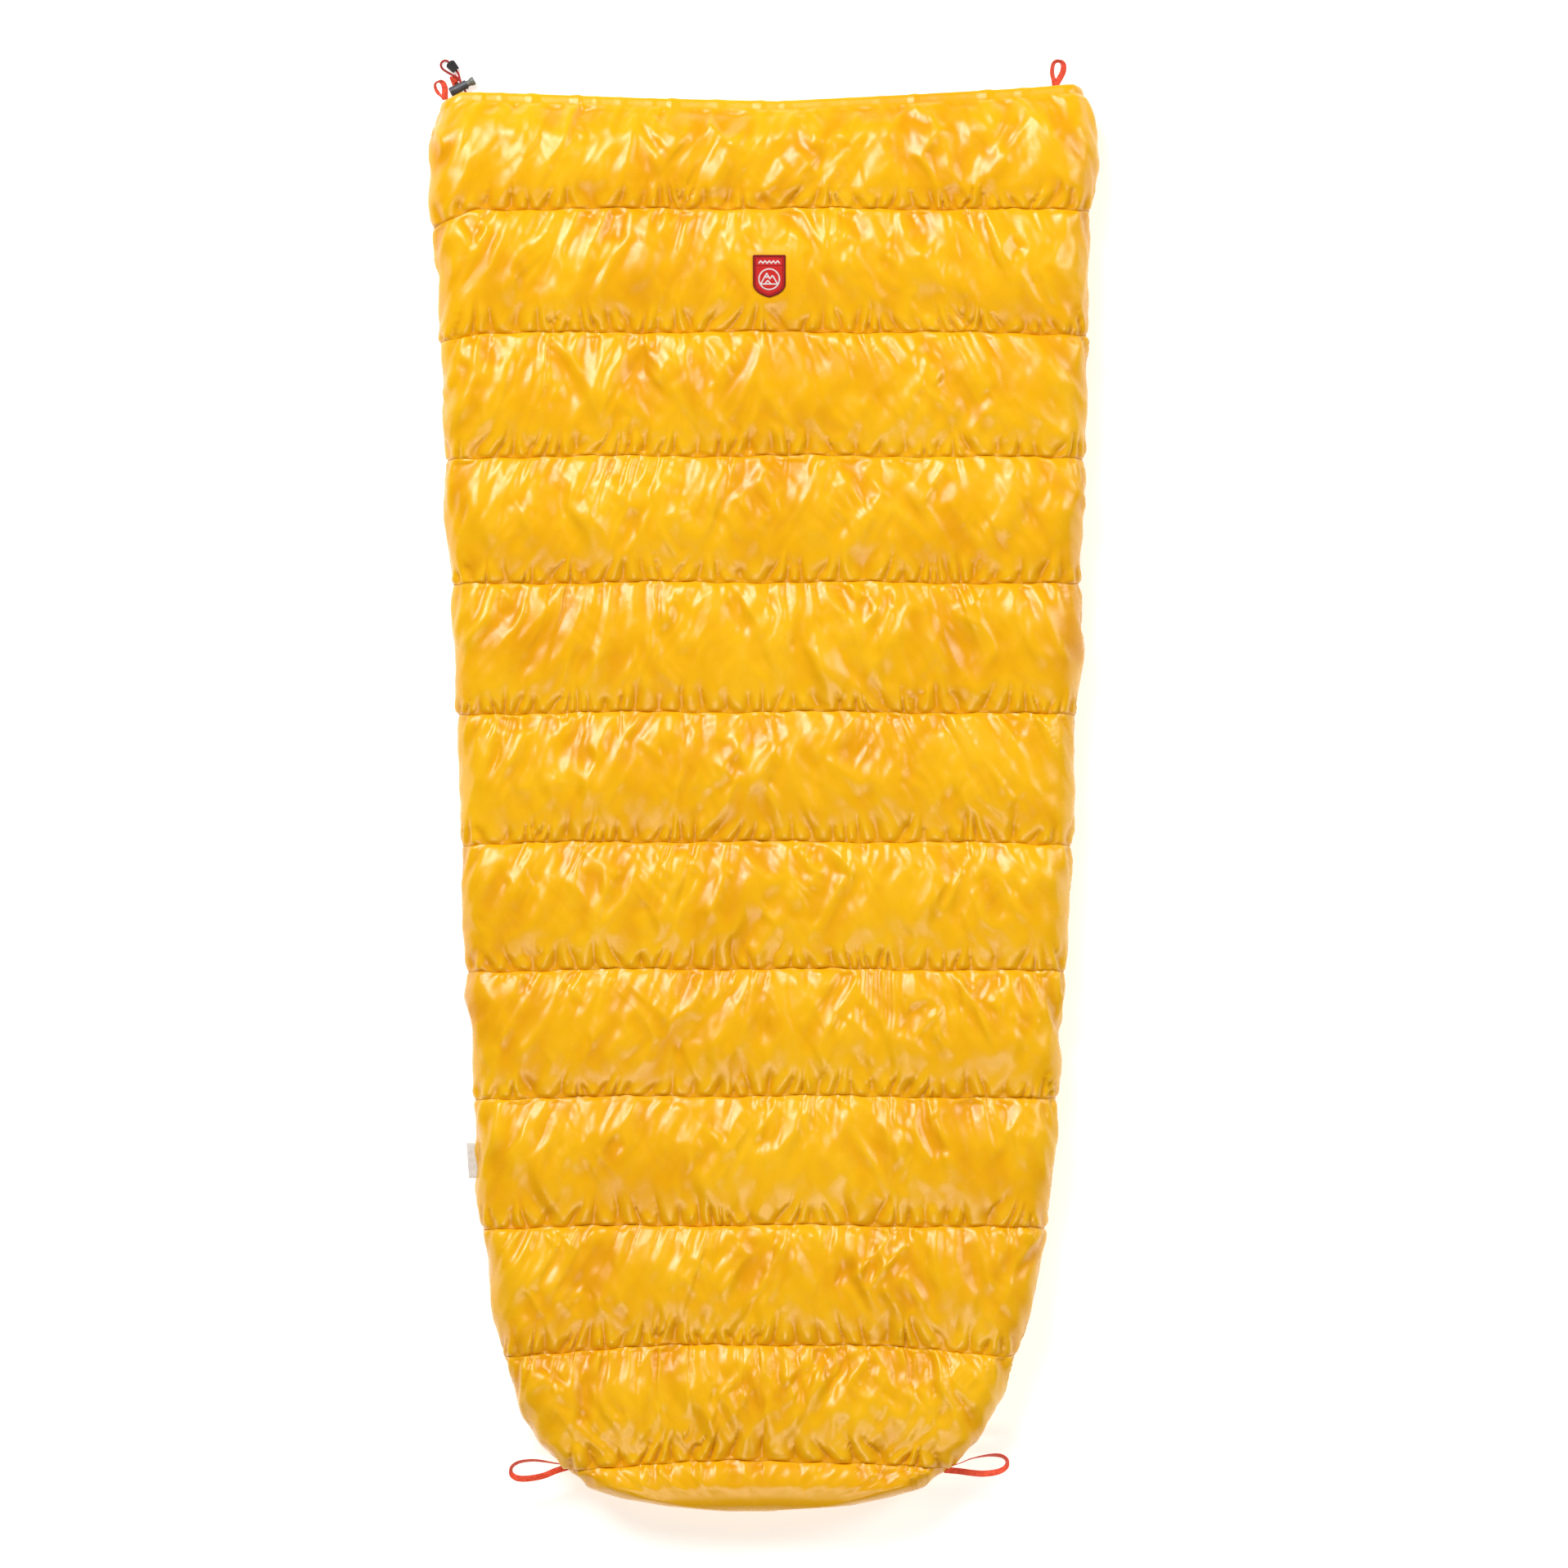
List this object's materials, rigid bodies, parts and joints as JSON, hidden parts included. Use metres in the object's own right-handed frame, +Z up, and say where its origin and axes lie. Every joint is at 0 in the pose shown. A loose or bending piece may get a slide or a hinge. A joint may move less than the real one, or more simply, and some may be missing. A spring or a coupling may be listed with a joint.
{
  "type": "camp quilt",
  "caption": "Tapered down quilt lying flat, in transverse chambers, with a footbox, a back slit, a corded mouth hem with a lock, and ribbon loops at the corners.",
  "frame": {"origin": "middle of the quilt's outline at the height of its underside, without the drawcord's loose loop", "axes": "+Y along the quilt towards its mouth, +X to the right seen from above, +Z up out of the front"},
  "size_m": [0.8558, 1.8644, 0.0901],
  "materials": {
    "shell_nylon": "gloss",
    "lining_nylon": "satin",
    "down": "matte",
    "baffle_mesh": "matte",
    "ribbon": "satin",
    "cord": "matte",
    "lock_plastic": "satin",
    "cord_end_plastic": "satin",
    "steel": "satin",
    "patch_cloth": "satin",
    "patch_thread": "satin",
    "emblem_thread": "satin",
    "label_cloth": "satin"
  },
  "bodies": {
    "middle": {"outer_shell_middle": "shell_nylon", "lining_middle": "lining_nylon", "down_fill_04": "down", "down_fill_05": "down", "down_fill_06": "down", "down_fill_07": "down", "down_fill_08": "down", "down_fill_09": "down", "baffle_wall_03": "baffle_mesh", "baffle_wall_04": "baffle_mesh", "baffle_wall_05": "baffle_mesh", "baffle_wall_06": "baffle_mesh", "baffle_wall_07": "baffle_mesh", "baffle_wall_08": "baffle_mesh", "baffle_wall_09": "baffle_mesh", "slit_binding_right_middle": "shell_nylon", "slit_binding_left_middle": "shell_nylon", "footbox_seam_tape_middle": "lining_nylon", "side_label": "label_cloth"},
    "mouth_end": {"outer_shell_mouth": "shell_nylon", "lining_mouth": "lining_nylon", "down_fill_01": "down", "down_fill_02": "down", "down_fill_03": "down", "baffle_wall_01": "baffle_mesh", "baffle_wall_02": "baffle_mesh", "mouth_hem": "shell_nylon", "slit_binding_right_mouth": "shell_nylon", "slit_binding_left_mouth": "shell_nylon", "drawcord": "cord", "drawcord_tail": "cord", "cord_lock_barrel": "lock_plastic", "cord_lock_spring": "steel", "lock_tether": "ribbon", "patch_backing": "patch_cloth", "patch_border": "patch_thread", "patch_emblem": "emblem_thread"},
    "foot_end": {"outer_shell_foot": "shell_nylon", "lining_foot": "lining_nylon", "down_fill_10": "down", "down_fill_11": "down", "baffle_wall_10": "baffle_mesh", "baffle_wall_11": "baffle_mesh", "foot_end_shell": "shell_nylon", "foot_end_fill": "down", "foot_end_lining": "lining_nylon", "footbox_seam_tape_foot": "lining_nylon"},
    "plunger": {"cord_lock_plunger": "lock_plastic"},
    "cord_end": {"cord_end": "cord_end_plastic"},
    "ribbon_mouth_left": {"ribbon_loop_mouth_left": "ribbon"},
    "ribbon_mouth_right": {"ribbon_loop_mouth_right": "ribbon"},
    "ribbon_foot_left": {"ribbon_loop_foot_left": "ribbon"},
    "ribbon_foot_right": {"ribbon_loop_foot_right": "ribbon"}
  },
  "joints": [
    {"name": "mouth_fold", "type": "hinge", "parent": "middle", "child": "mouth_end", "pos_m": [0, 0.4205, 0.092], "axis": [1, 0, 0], "range_deg": [0, 176]},
    {"name": "foot_fold", "type": "hinge", "parent": "middle", "child": "foot_end", "pos_m": [0, -0.564, 0.092], "axis": [-1, 0, 0], "range_deg": [0, 176]},
    {"name": "plunger_press", "type": "slide", "parent": "mouth_end", "child": "plunger", "axis": [-0.8934, -0.4493, 0], "range_m": [0, 0.004], "stiffness_N_per_m": 500, "springref_m": -0.003, "deforming": ["cord_lock_spring"]},
    {"name": "drawcord_pull", "type": "slide", "parent": "mouth_end", "child": "cord_end", "axis": [-0.6588, 0.7523, 0], "range_m": [0, 0.06], "deforming": ["drawcord_tail"]},
    {"name": "mouth_left_loop_flex", "type": "hinge", "parent": "mouth_end", "child": "ribbon_mouth_left", "pos_m": [-0.4075, 0.8805, 0.027], "axis": [0.9396, 0.3422, 0], "range_deg": [-20, 35], "stiffness_Nm_per_rad": 0.003},
    {"name": "mouth_right_loop_flex", "type": "hinge", "parent": "mouth_end", "child": "ribbon_mouth_right", "pos_m": [0.3773, 0.8985, 0.027], "axis": [0.9854, -0.17, 0], "range_deg": [-20, 35], "stiffness_Nm_per_rad": 0.003},
    {"name": "foot_left_loop_flex", "type": "hinge", "parent": "foot_end", "child": "ribbon_foot_left", "pos_m": [-0.2495, -0.8745, 0.044], "axis": [-0.0883, 0.9961, 0], "range_deg": [-20, 35], "stiffness_Nm_per_rad": 0.003},
    {"name": "foot_right_loop_flex", "type": "hinge", "parent": "foot_end", "child": "ribbon_foot_right", "pos_m": [0.2375, -0.878, 0.044], "axis": [0.0998, -0.995, 0], "range_deg": [-20, 35], "stiffness_Nm_per_rad": 0.003}
  ]
}
